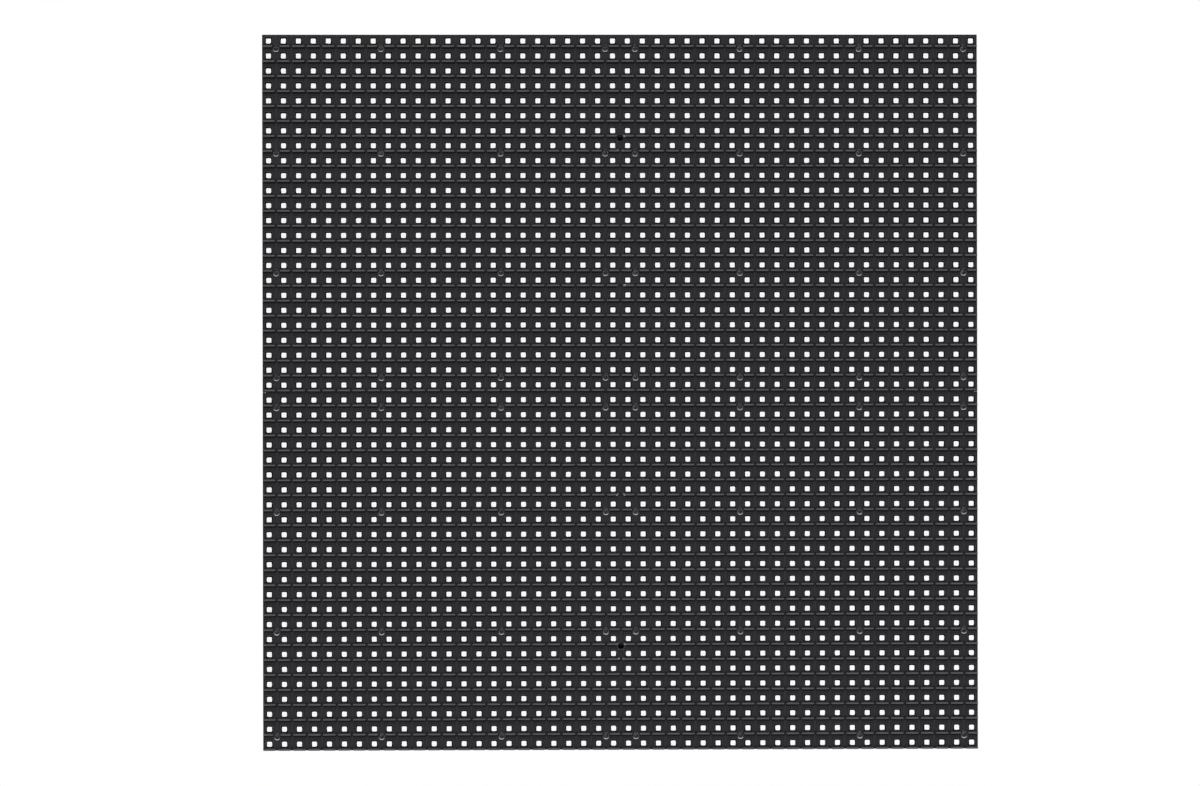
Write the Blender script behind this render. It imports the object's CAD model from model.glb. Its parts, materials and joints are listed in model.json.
"""Looks of a square outdoor LED dot matrix module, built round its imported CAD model.

X runs across the face, Z up it and -Y out of it, in metres. The louvred masks, the LEDs and
the mask screws are made here in full; the board, the case, the connectors and the locks are
the CAD solids with their edges eased.
"""

import json
from math import cos, pi, radians, sin

import bmesh
import bpy
import numpy as np
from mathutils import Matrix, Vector

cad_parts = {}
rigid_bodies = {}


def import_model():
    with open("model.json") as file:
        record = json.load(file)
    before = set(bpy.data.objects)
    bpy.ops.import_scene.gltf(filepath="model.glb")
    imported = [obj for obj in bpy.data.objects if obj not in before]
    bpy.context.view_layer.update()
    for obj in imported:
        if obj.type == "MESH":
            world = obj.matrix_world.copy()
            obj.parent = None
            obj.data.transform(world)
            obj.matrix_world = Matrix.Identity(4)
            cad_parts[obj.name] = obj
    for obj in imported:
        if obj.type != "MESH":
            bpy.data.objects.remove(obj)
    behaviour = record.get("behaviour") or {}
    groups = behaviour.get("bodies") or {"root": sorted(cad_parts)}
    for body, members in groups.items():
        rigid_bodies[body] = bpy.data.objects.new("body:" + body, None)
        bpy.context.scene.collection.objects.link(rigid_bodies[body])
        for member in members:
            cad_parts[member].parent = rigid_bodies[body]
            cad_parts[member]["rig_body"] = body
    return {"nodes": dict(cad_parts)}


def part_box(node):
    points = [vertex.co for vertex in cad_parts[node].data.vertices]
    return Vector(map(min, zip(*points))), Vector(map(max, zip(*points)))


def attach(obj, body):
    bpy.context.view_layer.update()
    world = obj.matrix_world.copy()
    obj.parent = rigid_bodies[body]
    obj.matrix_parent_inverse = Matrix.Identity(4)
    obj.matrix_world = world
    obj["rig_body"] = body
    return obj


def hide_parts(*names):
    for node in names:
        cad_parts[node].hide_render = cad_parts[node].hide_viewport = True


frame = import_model()
bpy.context.view_layer.update()

MM = 0.001
PITCH = 6.667 * MM
COLUMNS = 48
ROWS = 24  # in one mask half
face_low, face_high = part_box("mask_top")
FACE = face_high.x  # half the width of the face
SEAM = face_low.z  # half the gap between the mask halves
TIP = face_low.y  # the visors' front edges
SKIN = TIP + 1.8 * MM  # the skin's front
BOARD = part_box("main_board")[0].y
LED_FACE = SKIN + 0.15 * MM
SCREW_STEPS = (1, 8, 16, 23)  # crossings that hold a mask screw, from the centre
LOCK_STEP = 17  # the key hole's crossing
BLANK_STEP = 7  # the crossing left bare
SHARP = 35  # degrees, past which an edge is sharp


# ---------------------------------------------------------------- meshes

def signed_volume(points, faces):
    """Sum over the faces of the signed cones from the origin: positive when they point outwards."""
    total = 0.0
    for f in faces:
        p = points[f]
        for k in range(1, f.shape[1] - 1):
            total += np.einsum("ij,ij->i", p[:, 0], np.cross(p[:, k], p[:, k + 1])).sum()
    return total


class Shape:
    """Closed solids gathered into one mesh. Faces are rows of corner numbers, sorted by length."""

    def __init__(self):
        self.points, self.faces, self.count = [], [], 0

    def add(self, points, faces, at=((0, 0, 0),), finish=0):
        """A copy of one closed solid at each place, turned the right way out."""
        points, at = np.asarray(points, float), np.asarray(at, float)
        faces = [np.asarray(f, int).reshape(len(f), -1) for f in faces if len(f)]
        if signed_volume(points, faces) < 0:
            faces = [f[:, ::-1] for f in faces]
        self.points.append((at[:, None] + points[None]).reshape(-1, 3))
        steps = self.count + np.arange(len(at)) * len(points)
        kinds = finish if isinstance(finish, (list, tuple)) else [finish] * len(faces)
        for f, kind in zip(faces, kinds):
            every = (f[None] + steps[:, None, None]).reshape(-1, f.shape[1])
            self.faces.append((every, np.broadcast_to(np.asarray(kind), len(f)), len(at)))
        self.count += len(at) * len(points)
        return self

    def mesh(self, name):
        """One Blender mesh of all the solids."""
        made = bpy.data.meshes.new(name)
        loops = np.concatenate([f.ravel() for f, _, _ in self.faces])
        sizes = np.concatenate([np.full(len(f), f.shape[1]) for f, _, _ in self.faces])
        kinds = np.concatenate([np.tile(kind, n) for _, kind, n in self.faces])
        made.vertices.add(self.count)
        made.vertices.foreach_set("co", np.concatenate(self.points).ravel())
        made.loops.add(len(loops))
        made.loops.foreach_set("vertex_index", loops)
        made.polygons.add(len(sizes))
        made.polygons.foreach_set("loop_start", np.concatenate([[0], np.cumsum(sizes)[:-1]]))
        made.polygons.foreach_set("material_index", kinds)
        made.update(calc_edges=True)
        return made


def loft(rings, caps=True):
    """Quads from each ring of points to the next, and one face over each end."""
    rings = np.asarray(rings, float)
    count, n = rings.shape[:2]
    a = np.arange(n)
    b = (a + 1) % n
    quads = np.concatenate([np.stack([a, b, b + n, a + n], 1) + k * n for k in range(count - 1)])
    ends = np.stack([a[::-1], a + (count - 1) * n]) if caps else np.empty((0, n), int)
    return rings.reshape(-1, 3), [quads, ends]


def hoop(rings):
    """As a loft whose last ring joins its first: a closed ring round a hole."""
    rings = np.asarray(rings, float)
    count, n = rings.shape[:2]
    a, k = np.meshgrid(np.arange(n), np.arange(count))
    b, m = (a + 1) % n, (k + 1) % count
    quads = np.stack([a + k * n, b + k * n, b + m * n, a + m * n], -1).reshape(-1, 4)
    return rings.reshape(-1, 3), [quads]


def round_square(half, corner, steps=1):
    """Corner centres at half - corner, plus the corner's radius at even angles: 4 (steps + 1) points."""
    angles = np.radians(np.arange(4)[:, None] * 90 + np.linspace(0, 90, steps + 1)[None])
    middle = np.radians(np.arange(4) * 90 + 45)[:, None]
    x = np.sign(np.cos(middle)) * (half - corner) + corner * np.cos(angles)
    z = np.sign(np.sin(middle)) * (half - corner) + corner * np.sin(angles)
    return np.stack([x.ravel(), z.ravel()], 1)


def circle(radius, n):
    """Points at even angles on a circle."""
    a = np.arange(n) * 2 * pi / n
    return np.stack([radius * np.cos(a), radius * np.sin(a)], 1)


def at_depth(outline, y):
    """An outline in X and Z, set at depth y."""
    return np.stack([outline[:, 0], np.full(len(outline), y), outline[:, 1]], 1)


def block(low, high):
    """A box between two corners."""
    (x0, y0, z0), (x1, y1, z1) = low, high
    outline = np.array([(x0, z0), (x1, z0), (x1, z1), (x0, z1)])
    return loft([at_depth(outline, y0), at_depth(outline, y1)])


def turned(profile, n=24):
    """A solid of revolution about Y from rows of (radius, depth)."""
    return loft([at_depth(circle(r, n), y) for r, y in profile])


def piece(name, mesh, finishes, body="module", smooth=SHARP):
    """An object of the module's visual model, with its finishes and the body that it rides on."""
    made = bpy.data.objects.new(name, mesh)
    bpy.context.scene.collection.objects.link(made)
    for finish in finishes:
        made.data.materials.append(finish.material)
    made.data.polygons.foreach_set("use_smooth", np.ones(len(made.data.polygons), bool))
    made.data.set_sharp_from_angle(angle=radians(smooth))
    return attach(made, body)


def combine(start, steps):
    """Joins or cuts one solid after another, each a Shape, and returns the resulting mesh."""
    base = bpy.data.objects.new("work", start.mesh("work"))
    bpy.context.scene.collection.objects.link(base)
    for action, shape in steps:
        tool = bpy.data.objects.new("tool", shape.mesh("tool"))
        bpy.context.scene.collection.objects.link(tool)
        change = base.modifiers.new(action, "BOOLEAN")
        change.operation, change.solver, change.object = action, "MANIFOLD", tool
        view = bpy.context.evaluated_depsgraph_get()
        result = bpy.data.meshes.new_from_object(base.evaluated_get(view))
        base.modifiers.clear()
        old, base.data = base.data, result
        bpy.data.meshes.remove(old)
        bpy.data.objects.remove(tool)
    result = base.data
    bpy.data.objects.remove(base)
    result.materials.clear()
    result.polygons.foreach_set("material_index", np.zeros(len(result.polygons), int))
    return result


# ---------------------------------------------------------------- masks

COLUMN_X = (np.arange(COLUMNS) - (COLUMNS - 1) / 2) * PITCH
FRAME_UP = 0.26 * MM
SKIN_BACK = SKIN + 1 * MM
CHANNEL_HALF, CHANNEL_DEEP = 0.53 * MM, 0.35 * MM
VISOR_LOW, VISOR_HIGH = -2.85 * MM, -1.95 * MM  # from the dot's centre
VISOR_HALF, VISOR_END = 2.5 * MM, 2.8 * MM  # half of its full section's run, and of its whole
SCREW_BORE = 1.62 * MM
SEAM_GAP = 0.02 * MM  # left between a rim's end and the seam's middle


def row_heights(side):
    """Height of each row of one mask half, from the seam outwards."""
    return side * (np.arange(ROWS) + 0.5) * PITCH


def dots(side):
    """The centre of every dot of one half, row by row from the seam."""
    x, z = np.meshgrid(COLUMN_X, row_heights(side))
    return np.stack([x.ravel(), np.zeros(x.size), z.ravel()], 1)


def crossings(side):
    """The crossings that hold the mask screws of one half."""
    return np.array([(sx * i * PITCH, 0, side * j * PITCH)
                     for j in SCREW_STEPS for i in SCREW_STEPS for sx in (-1, 1)])


def skin(side):
    """A plate of one cell to each dot, with a raised frame round each window and channels between.

    A cell's four rings of 12 points are rounded squares: the frame's foot, its outer and inner
    top edges, and the window's edge at the back. The field round them is two triangles to each
    corner and a quad to each side. The channels' walls slope down to floors that join the cells
    of neighbouring columns, and every outer edge is closed from the front to the back.
    """
    centre = dots(side)
    n = len(centre)
    row, column = np.divmod(np.arange(n), COLUMNS)
    cx, cz = centre[:, 0], centre[:, 2]
    first, last = column == 0, column == COLUMNS - 1
    outer = FACE if side > 0 else FACE - SEAM_GAP
    seam = np.where(row == 0, side * SEAM, cz - side * PITCH / 2)
    edge = np.where(row == ROWS - 1, side * outer, cz + side * PITCH / 2)
    low, high = np.minimum(seam, edge), np.maximum(seam, edge)
    left = np.where(first, -FACE, cx - PITCH / 2 + CHANNEL_HALF)
    right = np.where(last, FACE, cx + PITCH / 2 - CHANNEL_HALF)
    back_left = np.where(first, -FACE, cx - PITCH / 2)
    back_right = np.where(last, FACE, cx + PITCH / 2)
    foot = CHANNEL_HALF - 0.1 * MM
    floor_left, floor_right = cx - PITCH / 2 + foot, cx + PITCH / 2 - foot
    floor = SKIN + CHANNEL_DEEP

    def spot(x, y, z):
        return np.stack(np.broadcast_arrays(x, y, z), -1)

    def ring(half, corner, y):
        outline = round_square(half * MM, corner * MM, 2)
        return spot(cx[:, None] + outline[:, 0], y, cz[:, None] + outline[:, 1])

    rings = [ring(2.02, 0.5, SKIN), ring(1.9, 0.42, SKIN - FRAME_UP),
             ring(1.62, 0.3, SKIN - FRAME_UP), ring(1.55, 0.26, SKIN_BACK)]
    threes, fours = [], []
    for inner, outer_ring in zip(rings, rings[1:]):
        ahead = [np.roll(r, -1, axis=1) for r in (inner, outer_ring)]
        fours.append(np.stack([inner, ahead[0], ahead[1], outer_ring], 2).reshape(-1, 4, 3))

    def field(ring12, x0, x1, y, forward):
        """From a ring out to the cell's corners."""
        corners = [spot(x1, y, high), spot(x0, y, high), spot(x0, y, low), spot(x1, y, low)]
        for k in range(4):
            a, b, c, d = (ring12[:, (3 * k + i) % 12] for i in range(4))
            for face in ([a, corners[k], b], [b, corners[k], c],
                         [c, corners[k], corners[(k + 1) % 4], d]):
                face = np.stack(face if forward else face[::-1], 1)
                (threes if face.shape[1] == 3 else fours).append(face)

    field(rings[0], left, right, SKIN, True)
    field(rings[3], back_left, back_right, SKIN_BACK, False)

    def strip(cells, path):
        """Quads between each step of a path of (x, y), from the cell's low edge to its high one."""
        for (x0, y0), (x1, y1) in zip(path, path[1:]):
            face = [spot(x0, y0, low), spot(x1, y1, low), spot(x1, y1, high), spot(x0, y0, high)]
            fours.append(np.stack(face, 1)[cells])

    strip(~last, [(right, SKIN), (floor_right, floor), (floor_right + 2 * foot, floor)])
    strip(~first, [(floor_left, floor), (left, SKIN)])
    strip(last, [(right, SKIN), (right, SKIN_BACK)])
    strip(first, [(left, SKIN_BACK), (left, SKIN)])
    inner_left, inner_right = np.where(first, left, floor_left), np.where(last, right, floor_right)
    left_y, right_y = np.where(first, SKIN, floor), np.where(last, SKIN, floor)
    ends = [(column >= 0, [(back_left, SKIN_BACK), (back_right, SKIN_BACK),
                            (inner_right, right_y), (inner_left, left_y)]),
            (~first & ~last, [(floor_left, floor), (floor_right, floor), (right, SKIN), (left, SKIN)]),
            (first, [(left, SKIN), (floor_right, floor), (right, SKIN)]),
            (last, [(floor_left, floor), (right, SKIN), (left, SKIN)]),
            (~last, [(back_right, SKIN_BACK), (floor_right + 2 * foot, floor), (floor_right, floor)])]
    for cells, z, turn in ((row == ROWS - 1, edge, side > 0), (row == 0, seam, side < 0)):
        for chosen, path in ends:
            face = [spot(x, y, z) for x, y in (path[::-1] if turn else path)]
            face = np.stack(face, 1)[cells & chosen]
            (threes if face.shape[1] == 3 else fours).append(face)
    return weld(np.concatenate(threes), np.concatenate(fours))


def weld(*kinds):
    """Corner numbers for faces given by their corners' places: equal places are made one point."""
    places = np.concatenate([k.reshape(-1, 3) for k in kinds])
    _, keep, same = np.unique(np.round(places / 1e-8).astype(np.int64), axis=0,
                              return_index=True, return_inverse=True)
    cuts = np.cumsum([k.shape[0] * k.shape[1] for k in kinds])[:-1]
    parts = zip(np.split(same.ravel(), cuts), kinds)
    return places[keep], [part.reshape(-1, k.shape[1]) for part, k in parts]


def visor():
    """A bar whose section has an eased front edge, and which shrinks towards both ends."""
    ease, back = 0.2 * MM, SKIN + 0.3 * MM
    section = np.array([(back, VISOR_HIGH), (TIP + 0.28 * MM, VISOR_HIGH), (TIP, VISOR_HIGH - ease),
                        (TIP, VISOR_LOW + ease), (TIP + 0.25 * MM, VISOR_LOW), (back, VISOR_LOW)])
    middle = (VISOR_LOW + VISOR_HIGH) / 2
    rings = []
    for x, share in ((-VISOR_END, 0.55), (-VISOR_HALF, 1), (VISOR_HALF, 1), (VISOR_END, 0.55)):
        y = back + (section[:, 0] - back) * (0.9 + 0.1 * share)
        z = middle + (section[:, 1] - middle) * share
        rings.append(np.stack([np.full(6, x), y, z], 1))
    return loft(rings)


def bores(side, radius):
    """Round cutters through the skin at the screws and the key hole."""
    places = [*crossings(side), (0, 0, side * LOCK_STEP * PITCH)]
    return Shape().add(*turned([(radius, TIP - 1 * MM), (radius, BOARD + 1 * MM)]), at=places)


def chamfers(side):
    """Three-sided prisms that ease the skin's front edges, but for the one that ends in visors."""
    ease, far = 0.25 * MM, 0.5 * MM
    section = np.array([(FACE + far, SKIN - far), (FACE + far, SKIN + far + ease),
                        (FACE - far - ease, SKIN - far)])
    made = Shape()
    for s in (-1, 1):
        made.add(*loft([np.stack([s * section[:, 0], section[:, 1], np.full(3, z)], 1)
                        for z in (-FACE - far, FACE + far)]))
    if side > 0:
        rings = [np.stack([np.full(3, x), section[:, 1], section[:, 0]], 1)
                 for x in (-FACE - far, FACE + far)]
        return [made, Shape().add(*loft(rings))]
    return [made]


def rim_and_webs(side):
    """The mask's three side walls as one bent strip, and a web behind each row of visors."""
    wall, back = 0.9 * MM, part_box("mask_top")[1].y
    a, b, s = FACE, FACE - wall, side
    end = s * SEAM_GAP
    path = [(-a, end), (-b, end), (-b, s * b), (b, s * b), (b, end), (a, end), (a, s * a), (-a, s * a)]
    made = Shape().add(*loft([at_depth(np.array(path), y) for y in (SKIN_BACK, back)]))
    for z in row_heights(side)[:-1]:
        made.add(*block((-b - 0.2 * MM, SKIN_BACK - 0.2 * MM, z + VISOR_LOW),
                        (b + 0.2 * MM, BOARD - 1.1 * MM, z + VISOR_HIGH)))
    return made


def collars(side):
    """At each screw a stepped tube with a countersunk mouth, from the collar down to the board.

    The key hole's tube has no step, and two low ramps run down from it.
    """
    foot, deep = BOARD - 0.1 * MM, SKIN + 1.15 * MM

    def tube(grow, inside):
        outside = [(1.66, foot), (1.66, SKIN - 0.25 * MM), (1.58, SKIN - 0.32 * MM)]
        mouth = [(1.52, SKIN - 0.32 * MM), (1.3, SKIN - 0.06 * MM)]
        profile = [((r + grow) * MM, y) for r, y in outside + mouth] + inside
        return hoop([at_depth(circle(r, 24), y) for r, y in profile])

    step = [(1.27 * MM, deep), (0.9 * MM, deep), (0.9 * MM, foot)]
    made = Shape().add(*tube(0, step), at=crossings(side))
    lock = [(0, 0, side * LOCK_STEP * PITCH)]
    made.add(*tube(0.1, [(1.4 * MM, foot)]), at=lock)
    top, end = -1.5 * MM, -5.75 * MM
    for s in (-1, 1):
        a, b = s * 1.0 * MM, s * 1.26 * MM
        ramp = np.array([(a, SKIN + 0.45 * MM), (b, SKIN + 0.45 * MM),
                         (b, SKIN - 0.3 * MM), (a + s * 0.1 * MM, SKIN - 0.42 * MM)])
        ends = [np.stack([ramp[:, 0], ramp[:, 1], np.full(4, z)], 1) for z in (end, top)]
        made.add(*loft(ends), at=lock)
    return made


def mask(name, side, finish):
    """One mask half: the bored skin with its eased edges, its visors, rim, webs and collars.

    The visors next to a screw, the key hole and the blank place are cut back round it by a cone.
    """
    lock, blank = (0, 0, side * LOCK_STEP * PITCH), (0, 0, side * BLANK_STEP * PITCH)
    places = np.array([*crossings(side), lock, blank])
    where = dots(side)
    gap = np.abs(where[:, None] - places[None])
    beside = ((gap[..., 0] < 0.6 * PITCH) & (gap[..., 2] < 0.6 * PITCH)).any(1)
    cone = turned([(1.5 * MM, SKIN + 1 * MM), (1.5 * MM, SKIN),
                   (1.95 * MM, TIP), (2.1 * MM, TIP - 0.5 * MM)], 32)
    parts = [
        combine(Shape().add(*skin(side)), [("DIFFERENCE", bores(side, SCREW_BORE)),
                                           *(("DIFFERENCE", c) for c in chamfers(side))]),
        combine(Shape().add(*visor(), at=where[beside]),
                [("DIFFERENCE", Shape().add(*cone, at=places))]),
        Shape().add(*visor(), at=where[~beside]).mesh("visors"),
        rim_and_webs(side).mesh("rim"), collars(side).mesh("collars")]
    work = bmesh.new()
    for part in parts:
        work.from_mesh(part)
        bpy.data.meshes.remove(part)
    made = bpy.data.meshes.new(name)
    work.to_mesh(made)
    work.free()
    return piece(name, made, [finish])


# ---------------------------------------------------------------- LEDs, screws and eased solids

LENS_HALF, LENS_CORNER, LENS_DISH = 1.09 * MM, 0.36 * MM, 0.06 * MM
HOUSING_HALF, HOUSING_FACE_HALF, HOUSING_EASE = 1.35 * MM, 1.27 * MM, 0.12 * MM
SAME_POINT = 1e-7  # corners of loose triangles this near are one
SAME_PLANE = radians(0.4)
SQUARE_ON = 0.99999  # the greatest part of a face's direction, where it is square to an axis


def leds(finishes):
    """Black square bodies with eased edges and a milky round-cornered face, one for each dot.

    The face is a fan from its centre, which lies a little deeper than its outline.
    """
    body = [(HOUSING_HALF, BOARD - 0.02 * MM), (HOUSING_HALF, LED_FACE + HOUSING_EASE),
            (HOUSING_FACE_HALF, LED_FACE)]
    rings = np.array([at_depth(round_square(half, 0.16 * MM), y) for half, y in body])
    lens = at_depth(round_square(LENS_HALF, LENS_CORNER, 2), LED_FACE)
    centre = np.array([[0, LED_FACE + LENS_DISH, 0]])
    points = np.concatenate([rings.reshape(-1, 3), lens, centre])
    a = np.arange(8)
    b = (a + 1) % 8
    walls = np.concatenate([np.stack([a, b, b + 8, a + 8], 1) + 8 * k for k in range(2)])
    k = np.arange(4)
    last = 24 + 12
    rim_fives = np.stack([16 + 2 * k, 16 + 2 * k + 1, 26 + 3 * k, 25 + 3 * k, 24 + 3 * k], 1)
    rim_quads = np.stack([16 + 2 * k + 1, 16 + (2 * k + 2) % 8, 24 + (3 * k + 3) % 12, 26 + 3 * k], 1)
    c = np.arange(12)
    fan = np.stack([24 + c, 24 + (c + 1) % 12, np.full(12, last)], 1)
    faces = [np.concatenate([walls, rim_quads]), rim_fives, fan, a[::-1][None]]
    made = Shape()
    for side in (1, -1):
        made.add(points, faces, at=dots(side), finish=[0, 0, 1, 0])
    return piece("leds", made.mesh("leds"), finishes)


def screws(finish):
    """A domed head with a cross recess on a plain shank.

    Every ring has 24 points. The recess's outline is a cross whose arms are 2 a wide and 2 b long;
    towards its floor it shrinks and goes deeper.
    """
    n, head = 24, SKIN + 0.25 * MM

    def cross(a, b):
        """Six points to a quarter: along the end of one arm, in to the corner, out along the next."""
        quarter = np.array([(b, 0), (b, a / 2), (b, a), (a, a), (a, b), (a / 2, b)])
        turns = [np.array([[cos(t), sin(t)], [-sin(t), cos(t)]]) for t in np.arange(4) * pi / 2]
        return np.concatenate([quarter @ turn for turn in turns])

    angles = np.concatenate([np.radians([0, 15, 30, 45, 60, 75]) + t for t in np.arange(4) * pi / 2])
    unit = np.stack([np.cos(angles), np.sin(angles)], 1)
    shank, top = 0.8 * MM, head + 0.9 * MM
    rows = [(unit * 0.4 * MM, head + 8.9 * MM), (unit * shank, head + 8.3 * MM), (unit * shank, top),
            (unit * 1.15 * MM, top), (unit * 1.2 * MM, head + 0.5 * MM), (unit * 1.16 * MM, head + 0.28 * MM),
            (unit * 1.0 * MM, head + 0.1 * MM), (unit * 0.92 * MM, head + 0.05 * MM),
            (cross(0.19 * MM, 0.8 * MM), head), (cross(0.12 * MM, 0.5 * MM), head + 0.5 * MM)]
    rings = np.array([at_depth(outline, y) for outline, y in rows])
    points, (quads, _) = loft(rings, caps=False)
    base = (len(rows) - 1) * n
    arms = [base + np.array([6 * q + i for i in (0, 1, 2, 3)] + [6 * ((q + 3) % 4) + i for i in (3, 4, 5)])
            for q in range(4)]
    middle = base + np.array([3, 9, 15, 21])
    foot = np.arange(n)[::-1]
    made = Shape()
    for side in (1, -1):
        made.add(points, [quads, np.array(arms), middle[None], foot[None]], at=crossings(side))
    return piece("screws", made.mesh("screws"), [finish], smooth=50)


def eased(name, node, width, finish, segments=2, beyond=None):
    """A CAD node's solid with its sharp edges rounded over by width.

    Faces square to an axis stay flat; the rest are smooth up to the sharp angle.
    With beyond, only the edges that lie further than that from the centre, across or upward.
    """
    source = frame["nodes"][node]
    work = bmesh.new()
    work.from_mesh(source.data)
    bmesh.ops.remove_doubles(work, verts=work.verts, dist=SAME_POINT)
    bmesh.ops.dissolve_limit(work, angle_limit=SAME_PLANE, verts=work.verts, edges=work.edges)
    bmesh.ops.triangulate(work, faces=[face for face in work.faces if len(face.verts) > 4])
    if beyond:
        weight = work.edges.layers.float.new("bevel_weight_edge")
        for edge in work.edges:
            outside = min(max(abs(end.co.x), abs(end.co.z)) for end in edge.verts) > beyond
            edge[weight] = float(outside and edge.calc_face_angle(0) > radians(SHARP))
    mesh = bpy.data.meshes.new(name)
    work.to_mesh(mesh)
    work.free()
    mesh.materials.clear()
    made = piece(name, mesh, [finish], source["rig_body"])
    turned_to = np.empty(len(mesh.polygons) * 3, np.float32)
    mesh.polygons.foreach_get("normal", turned_to)
    square_on = np.abs(turned_to.reshape(-1, 3)).max(1) > SQUARE_ON
    mesh.polygons.foreach_set("use_smooth", ~square_on)
    round_over = made.modifiers.new("ease", "BEVEL")
    round_over.width, round_over.segments = width, segments
    round_over.limit_method = "WEIGHT" if beyond else "ANGLE"
    round_over.angle_limit = radians(SHARP)
    round_over.use_clamp_overlap = True
    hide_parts(node)
    return made


# ---------------------------------------------------------------- finishes

class Amount:
    """A number that a material's nodes work out; Python's operators add the Math nodes."""

    def __init__(self, finish, socket):
        self.finish, self.socket = finish, socket

    def math(self, operation, *values):
        return Amount(self.finish, self.finish.put(
            "ShaderNodeMath", dict(operation=operation), dict(enumerate(values))))

    def __add__(self, other): return self.math("ADD", self, other)
    def __sub__(self, other): return self.math("SUBTRACT", self, other)
    def __rsub__(self, other): return self.math("SUBTRACT", other, self)
    def __mul__(self, other): return self.math("MULTIPLY", self, other)
    def __truediv__(self, other): return self.math("DIVIDE", self, other)
    __radd__, __rmul__ = __add__, __mul__

    def fraction(self): return self.math("FRACT", self)
    def floor(self): return self.math("FLOOR", self)
    def size(self): return self.math("ABSOLUTE", self)
    def root(self): return self.math("SQRT", self)
    def least(self, other): return self.math("MINIMUM", self, other)
    def most(self, other): return self.math("MAXIMUM", self, other)

    def between(self, low, high):
        """Smoothly 0 at low and 1 at high, whichever is the greater."""
        return Amount(self.finish, self.finish.put(
            "ShaderNodeMapRange", dict(interpolation_type="SMOOTHSTEP"),
            {"Value": self, "From Min": low, "From Max": high}))


class Finish:
    """One material: constants on its shader's sockets, and put() for any node."""

    def __init__(self, name, **constants):
        self.material = bpy.data.materials.new(name)
        self.material.use_nodes = True
        self.tree = self.material.node_tree
        self.shader = self.tree.nodes["Principled BSDF"]
        for socket, value in constants.items():
            self.shader.inputs[socket.replace("_", " ")].default_value = value
        self.place = self.put("ShaderNodeTexCoord", output="Object")
        self.x, self.y, self.z = self.parts(self.place)

    def put(self, kind, settings=None, sockets=None, output=0):
        node = self.tree.nodes.new(kind)
        for key, value in (settings or {}).items():
            setattr(node, key, value)
        for key, value in (sockets or {}).items():
            self.feed(node.inputs[key], value)
        return node.outputs[output]

    def feed(self, target, value):
        value = value.socket if isinstance(value, Amount) else value
        if isinstance(value, bpy.types.NodeSocket):
            self.tree.links.new(value, target)
        else:
            target.default_value = value

    def parts(self, vector):
        node = self.put("ShaderNodeSeparateXYZ", None, {0: vector}).node
        return [Amount(self, out) for out in node.outputs]

    def noise(self, scale, detail=2.0, vector=None):
        return Amount(self, self.put("ShaderNodeTexNoise", None, {
            "Vector": vector or self.place, "Scale": scale, "Detail": detail}))

    def facing(self):
        """The parts of the surface's own direction: upwards is the third."""
        return self.parts(self.put("ShaderNodeNewGeometry", output="Normal"))

    def mix(self, share, first, second):
        """From one colour to the other."""
        first, second = ((*c, 1) if isinstance(c, tuple) and len(c) == 3 else c for c in (first, second))
        return self.put("ShaderNodeMix", dict(data_type="RGBA"), {0: share, 6: first, 7: second}, 2)

    def colour(self, value): self.feed(self.shader.inputs["Base Color"], value)
    def roughness(self, value): self.feed(self.shader.inputs["Roughness"], value)

    def bump(self, height, distance, strength=1.0):
        self.feed(self.shader.inputs["Normal"], self.put(
            "ShaderNodeBump", None, {"Height": height, "Distance": distance, "Strength": strength}))


def near(finish, x, z, inner, outer):
    """1 within inner of a line along Y through (x, z), 0 from outer on."""
    gap = finish.put("ShaderNodeVectorMath", dict(operation="DISTANCE"),
                     {0: finish.put("ShaderNodeCombineXYZ", None, {0: finish.x, 2: finish.z}),
                      1: (x, 0, z)}, "Value")
    return Amount(finish, gap).between(outer, inner)


def from_crossing(f):
    """Distance to the nearest crossing between dots, over the pitch: the root of X and Z squared."""
    across = (f.x / PITCH + 0.5).fraction() - 0.5
    upward = (f.z / PITCH + 0.5).fraction() - 0.5
    return (across * across + upward * upward).root()


def at_screws(f):
    """1 round the crossings that hold a screw: both counts from the centre are among the steps."""
    share = None
    for place in (f.x, f.z):
        count = (place / PITCH + 0.5).floor().size()
        off = None
        for step in SCREW_STEPS:
            gap = (count - step).size()
            off = gap if off is None else off.least(gap)
        here = (1 - off).most(0)
        share = here if share is None else share * here
    return share


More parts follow.
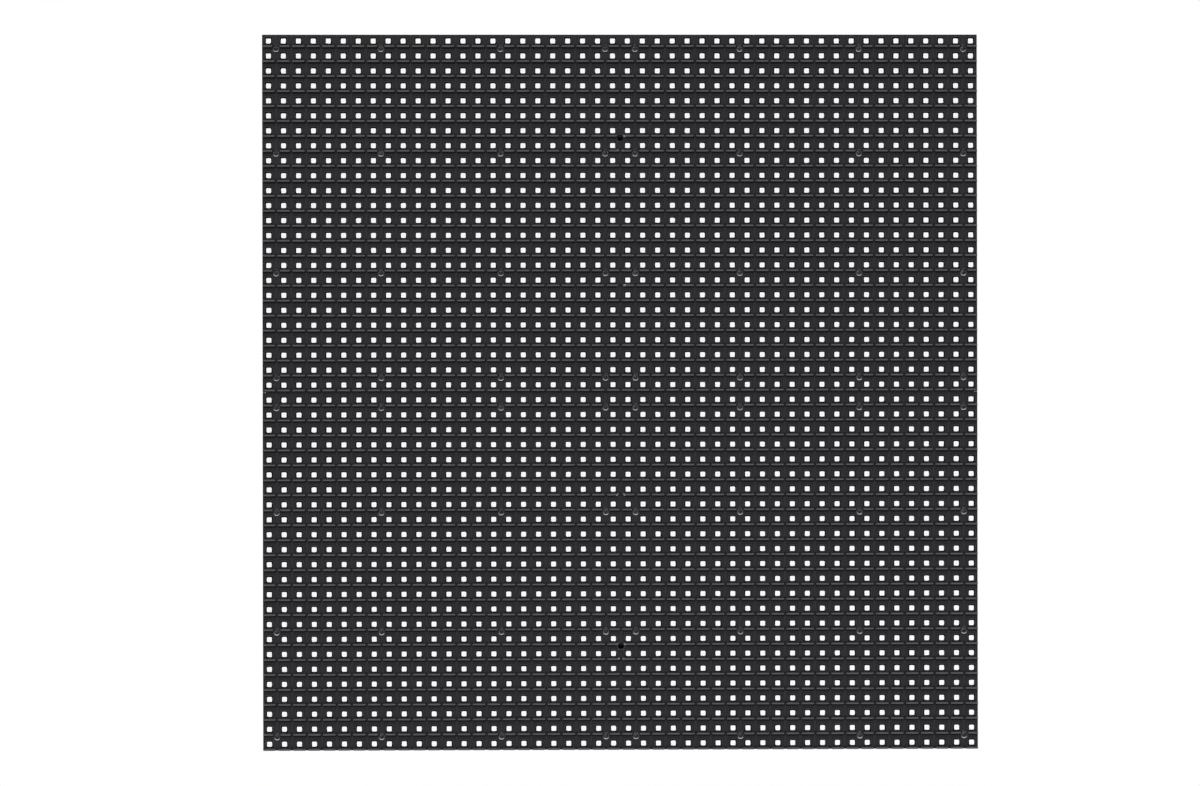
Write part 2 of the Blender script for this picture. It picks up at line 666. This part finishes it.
def mask_plastic():
    """Charcoal moulding: fine spark grain, paler rubbed visor edges and frames, a little dust on top.

    Patterns that repeat with the dots come from the fractions of X and Z over the pitch; those
    round the screws and key holes come from the distance to the nearest crossing.
    """
    f = Finish("mask_plastic", Specular_IOR_Level=0.08)
    u = ((f.x / PITCH).fraction() - 0.5).size()
    v = (f.z / PITCH).fraction() - 0.5
    ring = from_crossing(f)
    proud = f.y * -1 + SKIN  # how far a point stands in front of the skin
    tip = proud.between(1.55 * MM, 1.76 * MM)
    on_skin = proud.between(0.6 * MM, 0.4 * MM)
    square = u.most(v.size())
    frame_top = proud.between(0.1 * MM, 0.2 * MM) * on_skin * square.between(0.255, 0.27)
    channel = proud.between(-0.1 * MM, -0.3 * MM) * u.between(0.4, 0.44)
    up = f.facing()[2]
    lip = ring.between(0.25, 0.23) * ring.between(0.175, 0.19) * on_skin * at_screws(f)
    lit_lip = lip * up.between(0.3, 0.7)
    grain = f.noise(4200, 2.0)
    patch = f.noise(260, 3.0)
    tint = f.noise(9, 1.0)
    dust = up.between(0.2, 0.95) * patch.between(0.35, 0.7)
    ground = f.mix(tint.between(0.35, 0.65), (0.0180, 0.0163, 0.0204), (0.0174, 0.0168, 0.0184))
    ground = f.mix(patch.between(0.3, 0.75) * 0.35, ground, (0.021, 0.0195, 0.0225))
    ground = f.mix(channel * 0.6, ground, (0.030, 0.0285, 0.0325))
    front = f.facing()[1].between(-0.5, -0.8) * on_skin
    beside = v.size().between(0.32, 0.2) * u.between(0.29, 0.33)
    ground = f.mix(beside * front * 0.5, ground, (0.027, 0.0255, 0.029))
    shade = v.between(-0.15, -0.28) * u.between(0.38, 0.42)
    ground = f.mix(shade * front * 0.7, ground, (0.006, 0.0055, 0.0065))
    groove = square.between(0.325, 0.34) * square.between(0.385, 0.365) * v.between(-0.2, 0.1)
    ground = f.mix(groove * front * 0.4, ground, (0.006, 0.0056, 0.0068))
    ground = f.mix(frame_top * v.between(-0.3, 0.05), ground, (0.043, 0.041, 0.045))
    ground = f.mix(tip * (patch * 0.3 + 0.66), ground, (0.088, 0.085, 0.095))
    ground = f.mix(dust * 0.35, ground, (0.055, 0.053, 0.056))
    ground = f.mix(lip * 0.4, ground, (0.05, 0.049, 0.054))
    ground = f.mix(lit_lip * (patch * 0.5 + 0.6), ground, (0.60, 0.60, 0.61))
    parting = f.z.size().between(0.42 * MM, 0.26 * MM)
    ground = f.mix(parting * front, ground, (0.003, 0.0028, 0.0034))
    cut = proud.between(0.15 * MM, 0.4 * MM) * f.facing()[1].between(-0.9, -0.6)
    bright = near(f, 0, -BLANK_STEP * PITCH, 2.02 * MM, 2.2 * MM)
    bright = bright.most(near(f, 1.9 * MM, BLANK_STEP * PITCH + 1.1 * MM, 0.35 * MM, 0.8 * MM))
    rubbed = near(f, 0, BLANK_STEP * PITCH, 1.9 * MM, 2.1 * MM)
    for z in (LOCK_STEP * PITCH, -LOCK_STEP * PITCH):
        rubbed = rubbed.most(near(f, 0, z, 2.1 * MM, 2.5 * MM))
        bright = bright.most(near(f, 1.75 * MM, z + 0.75 * MM, 0.3 * MM, 0.7 * MM))
        rubbed = rubbed.most(near(f, 0, z - 5.7 * MM, 1.2 * MM, 2.0 * MM))
        bright = bright.most(near(f, -0.8 * MM, z - 5.5 * MM, 0.25 * MM, 0.6 * MM))
    ground = f.mix(rubbed * cut * patch.between(0.25, 0.6), ground, (0.20, 0.20, 0.205))
    ground = f.mix(bright * cut * (grain * 0.5 + 0.6), ground, (0.55, 0.55, 0.56))
    f.colour(ground)
    f.roughness(0.55 + grain * 0.16 - tip * 0.08 + dust * 0.2)
    f.bump(grain, 0.05 * MM, 0.7)
    return f


def led_housing():
    """Matt black body, with the faint mottle of its filler."""
    f = Finish("led_housing", Specular_IOR_Level=0.06)
    mottle = f.noise(4000, 2.0)
    f.colour(f.mix(mottle, (0.003, 0.003, 0.0034), (0.006, 0.006, 0.0068)))
    f.roughness(0.5 + mottle * 0.2)
    f.bump(mottle, 0.01 * MM, 0.4)
    return f


def led_face():
    """Milky resin: three faint chips in a column with their bond pads, and a slightly greyer rim."""
    f = Finish("led_face", Specular_IOR_Level=0.4, Coat_Weight=0.25, Coat_Roughness=0.12)
    u = (f.x / PITCH).fraction() - 0.5
    v = (f.z / PITCH).fraction() - 0.5
    cell = f.put("ShaderNodeCombineXYZ", None,
                 {0: (f.x / PITCH).floor(), 1: (f.z / PITCH).floor()})
    batch = Amount(f, f.put("ShaderNodeTexWhiteNoise", dict(noise_dimensions="2D"), {"Vector": cell}))
    half_width = u.size().between(0.022, 0.014)
    chips = None
    for centre in (-0.07, 0.0, 0.07):
        one = (v - centre).size().between(0.022, 0.014)
        chips = one if chips is None else chips.most(one)
    pads = (u.size() - 0.1).size().between(0.035, 0.02) * v.size().between(0.115, 0.1)
    edge = u.size().most(v.size())
    cloud = f.noise(1500, 2.0)
    ground = f.mix(batch, (0.93, 0.93, 0.925), (0.955, 0.952, 0.95))
    ground = f.mix(edge.between(0.14, 0.178), ground, (0.86, 0.862, 0.87))
    ground = f.mix(pads * 0.2, ground, (0.86, 0.845, 0.83))
    ground = f.mix(chips * half_width * 0.5, ground, (0.80, 0.745, 0.76))
    ground = f.mix(cloud.between(0.45, 0.8) * 0.12, ground, (0.88, 0.885, 0.90))
    f.colour(ground)
    f.roughness(0.34 + cloud * 0.14)
    f.bump(cloud, 0.015 * MM, 0.3)
    return f


def metal(name, colour, dull, roughness, grain=3000, stretch=None):
    """Plated or bare metal: fine tooling marks, and duller patches of a second colour."""
    f = Finish(name, Metallic=1.0)
    place = f.place
    if stretch:
        place = f.put("ShaderNodeMapping", None, {"Vector": f.place, "Scale": stretch})
    marks = f.noise(grain, 3.0, place)
    patch = f.noise(220, 3.0)
    worn = patch.between(0.35, 0.8)
    f.colour(f.mix(worn * 0.6 + marks * 0.3, colour, dull))
    f.roughness(roughness + marks * 0.2 + worn * 0.1)
    f.bump(marks, 0.02 * MM, 0.5)
    return f


def moulded(name, dark, light, roughness=0.5, grain=3400, depth=0.03, specular=0.35):
    """Moulded plastic or rubber: spark-eroded grain, soft mottling and a greyer bloom on its top faces."""
    f = Finish(name, Specular_IOR_Level=specular)
    texture = f.noise(grain, 3.0)
    patch = f.noise(55, 4.0)
    fine = f.noise(700, 2.0)
    bloom = f.facing()[2].between(0.4, 1.0) * fine.between(0.35, 0.7)
    ground = f.mix(patch.between(0.3, 0.7), dark, light)
    f.colour(f.mix(bloom * 0.35, ground, tuple(1.9 * c + 0.01 for c in light)))
    f.roughness(roughness + texture * 0.2 - patch * 0.08)
    f.bump(texture + fine * 0.4, depth * MM, 0.8)
    return f


def screw_finish():
    """Blackened steel: near black in the cross and on the dome, rubbed bright round the rim."""
    f = Finish("blackened_screw", Metallic=1.0)
    ring = from_crossing(f)
    marks = f.noise(3600, 3.0)
    worn = f.noise(700, 2.0)
    ground = f.mix(worn.between(0.35, 0.7), (0.028, 0.027, 0.030), (0.050, 0.049, 0.052))
    rim = ring.between(0.14, 0.16) * (f.y * -1 + SKIN).between(-0.9 * MM, -0.7 * MM)
    f.colour(f.mix(rim * (worn * 0.5 + 0.5), ground, (0.48, 0.48, 0.49)))
    f.feed(f.shader.inputs["Metallic"], 1 - rim * 0.85)
    f.roughness(0.36 + marks * 0.2)
    f.bump(marks, 0.01 * MM, 0.4)
    return f


def board_lacquer():
    """Dark green solder mask over close copper tracks, with small vias and a bare fibre edge."""
    f = Finish("board_lacquer", Specular_IOR_Level=0.5, Coat_Weight=0.3, Coat_Roughness=0.15)
    track_step, via_step = 0.635 * MM, 2.54 * MM
    lanes = ((f.x / track_step).fraction() - 0.5).size().between(0.3, 0.22)
    cross_lanes = ((f.z / track_step).fraction() - 0.5).size().between(0.3, 0.22)
    zone = f.put("ShaderNodeTexVoronoi", None, {"Vector": f.place, "Scale": 62.0}, "Color")
    pick = f.parts(zone)[0]
    tracks = lanes * pick.between(0.52, 0.55) + cross_lanes * pick.between(0.48, 0.45)
    px = (f.x / via_step).fraction() - 0.5
    pz = (f.z / via_step).fraction() - 0.5
    via = (px * px + pz * pz).between(0.02, 0.012)
    edge = 1 - f.facing()[1].size().between(0.3, 0.7)
    ground = f.mix(tracks, (0.006, 0.030, 0.014), (0.012, 0.062, 0.028))
    ground = f.mix(via * 0.6, ground, (0.35, 0.30, 0.18))
    f.colour(f.mix(edge, ground, (0.16, 0.15, 0.09)))
    f.roughness(0.3 + tracks * 0.08 + edge * 0.4)
    f.bump(tracks + via, 0.03 * MM, 0.5)
    return f


def potting_gel():
    """Dark glossy sealing gel with slight waves and a meniscus sheen."""
    f = Finish("potting_gel", Specular_IOR_Level=0.35, Coat_Weight=0.2, Coat_Roughness=0.08)
    waves = f.noise(420, 2.0)
    f.colour(f.mix(waves, (0.006, 0.006, 0.007), (0.012, 0.012, 0.014)))
    f.roughness(0.2 + waves * 0.15)
    f.bump(waves, 0.08 * MM, 0.5)
    return f


plastic = mask_plastic()
screw_black = screw_finish()
spindle_black = metal("blackened_spindle", (0.030, 0.030, 0.032), (0.018, 0.018, 0.019), 0.4)
case_plastic = moulded("case_plastic", (0.016, 0.016, 0.018), (0.026, 0.026, 0.028), 0.46, 1900, 0.12, 0.3)
chip_resin = moulded("chip_resin", (0.012, 0.012, 0.013), (0.02, 0.02, 0.021), 0.55, 6000, 0.015)
socket_black = moulded("socket_black", (0.014, 0.014, 0.015), (0.022, 0.022, 0.023), 0.42, 5000, 0.012)
socket_ivory = moulded("socket_ivory", (0.70, 0.67, 0.58), (0.78, 0.75, 0.67), 0.42, 5000, 0.012)
soft_rubber = moulded("seal_rubber", (0.030, 0.030, 0.031), (0.046, 0.046, 0.047), 0.7, 2500, 0.04, 0.2)
brass = metal("insert_brass", (0.78, 0.60, 0.30), (0.52, 0.38, 0.18), 0.26)
steel = metal("ground_steel", (0.50, 0.50, 0.51), (0.38, 0.37, 0.36), 0.38, 2600, (1, 0.08, 1))
plated = metal("zinc_plate", (0.56, 0.57, 0.60), (0.44, 0.44, 0.43), 0.34)
gold = metal("gilt_pin", (0.90, 0.70, 0.34), (0.75, 0.56, 0.26), 0.2)
tin = metal("tinned_pin", (0.78, 0.78, 0.79), (0.60, 0.60, 0.60), 0.24)
can = metal("capacitor_can", (0.72, 0.73, 0.75), (0.58, 0.58, 0.60), 0.28)
green = board_lacquer()
gel = potting_gel()

for made, node, slot_name in (
        (mask("mask_upper", 1, plastic), "mask_top", "mask"),
        (mask("mask_lower", -1, plastic), "mask_bottom", "mask"),
        (leds([led_housing(), led_face()]), "led_rows", "led"),
        (screws(screw_black), "mask_screws", "screw")):
    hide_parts(node)

# piece, CAD node, easing in mm, finish, material slot, segments
EASED = [
    ("board", "main_board", 0.12, green, "board", 1),
    ("sealing_ring", "case_seal", 0.4, soft_rubber, "seal", 2),
    ("drivers", "driver_chips", 0.15, chip_resin, "chip", 1),
    ("row_switches", "row_switch_chips", 0.12, chip_resin, "chip", 1),
    ("buffers", "buffer_chips", 0.18, chip_resin, "chip", 1),
    ("capacitor_cans", "capacitors", 0.5, can, "can", 3),
    ("data_in_shroud", "data_in_socket", 0.15, socket_black, "socket", 2),
    ("data_out_shroud", "data_out_socket", 0.15, socket_black, "socket", 2),
    ("data_contacts", "data_pins", 0.1, gold, "pin", 1),
    ("power_shroud", "power_socket", 0.2, socket_ivory, "power_socket", 2),
    ("power_contacts", "power_pins", 0.18, tin, "tinned", 1),
    ("insert_bushes", "threaded_inserts", 0.2, brass, "brass", 2),
    ("locating_pins", "guide_pins", 0.25, steel, "steel", 2),
    ("bushes", "lock_bushes", 0.2, plated, "plated", 2),
    ("nuts", "lock_nuts", 0.3, plated, "plated", 2),
    ("spindle_upper", "lock_upper_spindle", 0.12, spindle_black, "plated", 2),
    ("spindle_lower", "lock_lower_spindle", 0.12, spindle_black, "plated", 2),
    ("tongue_upper", "lock_upper_tongue", 0.35, steel, "steel", 2),
    ("tongue_lower", "lock_lower_tongue", 0.35, steel, "steel", 2),
    ("clip_upper", "lock_upper_clip", 0.08, steel, "steel", 1),
    ("clip_lower", "lock_lower_clip", 0.08, steel, "steel", 1),
]
for name, node, width, finish, slot_name, segments in EASED:
    eased(name, node, width * MM, finish, segments)
CASE_OUTER = 0.12  # the case's outline lies further out than this, its posts and ports nearer in
eased("case_shell", "rear_case", 0.4 * MM, case_plastic, beyond=CASE_OUTER)
for node, finish in (("potting", gel), ("lock_upper_seal", soft_rubber),
                     ("lock_lower_seal", soft_rubber)):
    frame["nodes"][node].data.materials.clear()
    frame["nodes"][node].data.materials.append(finish.material)


# ---------------------------------------------------------------- stage, lamps and camera

def pale_floor(height, radius):
    """A round disc on the ground: pale, brighter to the camera, and still shaded by the module."""
    corners = 96
    points = np.column_stack([circle(radius, corners), np.full(corners, height)])
    mesh = bpy.data.meshes.new("floor")
    mesh.from_pydata(points.tolist(), [], [list(range(corners))])
    floor = bpy.data.objects.new("floor", mesh)
    bpy.context.scene.collection.objects.link(floor)
    f = Finish("floor_paint", Roughness=0.9, Specular_IOR_Level=0.0)
    f.colour(f.mix(f.noise(14, 3.0), (0.80, 0.80, 0.80), (0.84, 0.84, 0.84)))
    path = f.put("ShaderNodeLightPath").node
    seen = Amount(f, path.outputs["Is Camera Ray"]).most(
        Amount(f, path.outputs["Is Glossy Ray"])).most(Amount(f, path.outputs["Is Transmission Ray"]))
    f.feed(f.shader.inputs["Emission Color"], f.mix(seen, (0, 0, 0), (0.3, 0.3, 0.3)))
    f.shader.inputs["Emission Strength"].default_value = 1.0
    mesh.materials.append(f.material)


def bright_world(ambient):
    """White to the camera and in reflections and glass, and a plain grey light on everything else."""
    world = bpy.data.worlds.new("surroundings")
    bpy.context.scene.world = world
    world.use_nodes = True
    tree = world.node_tree
    shader = tree.nodes["Background"]
    path = tree.nodes.new("ShaderNodeLightPath")
    share = None
    for name in ("Is Camera Ray", "Is Glossy Ray", "Is Transmission Ray"):
        if share is None:
            share = path.outputs[name]
            continue
        either = tree.nodes.new("ShaderNodeMath")
        either.operation = "MAXIMUM"
        tree.links.new(share, either.inputs[0])
        tree.links.new(path.outputs[name], either.inputs[1])
        share = either.outputs[0]
    level = tree.nodes.new("ShaderNodeMapRange")
    level.inputs["To Min"].default_value = ambient
    tree.links.new(share, level.inputs["Value"])
    tree.links.new(level.outputs[0], shader.inputs["Strength"])
    shader.inputs["Color"].default_value = (1, 1, 1, 1)


def sun(name, azimuth, elevation, share, softness):
    """A distant lamp: share is the brightness that it gives to a white face square to it."""
    lamp = bpy.data.lights.new(name, "SUN")
    lamp.energy, lamp.angle = share * pi, radians(softness)
    holder = bpy.data.objects.new(name, lamp)
    a, e = radians(azimuth), radians(elevation)
    towards = Vector((sin(a) * cos(e), -cos(a) * cos(e), sin(e)))
    holder.rotation_euler = towards.to_track_quat("Z", "Y").to_euler()
    bpy.context.scene.collection.objects.link(holder)


pale_floor(-0.30, 1.15)
bright_world(0.30)
sun("key_lamp", -8, 26, 0.66, 9)
sun("top_lamp", 10, 68, 0.20, 25)
sun("back_lamp", 165, 35, 0.50, 20)
sun("side_lamp", 80, 20, 0.18, 30)

camera = bpy.data.objects.new("camera", bpy.data.cameras.new("camera"))
bpy.context.scene.collection.objects.link(camera)
camera.data.lens, camera.data.sensor_width = 140.0, 36.0
camera.location = (-0.05, -2.1, 0.0)
aim = Vector((-0.0088, 0, -0.0004)) - camera.location
camera.rotation_euler = aim.to_track_quat("-Z", "Y").to_euler()
camera.rotation_euler.rotate_axis("Z", -0.0017)
camera.data.clip_start, camera.data.clip_end = 0.01, 100
bpy.context.scene.camera = camera
bpy.context.scene.view_settings.view_transform = "Standard"

bpy.context.view_layer.update()
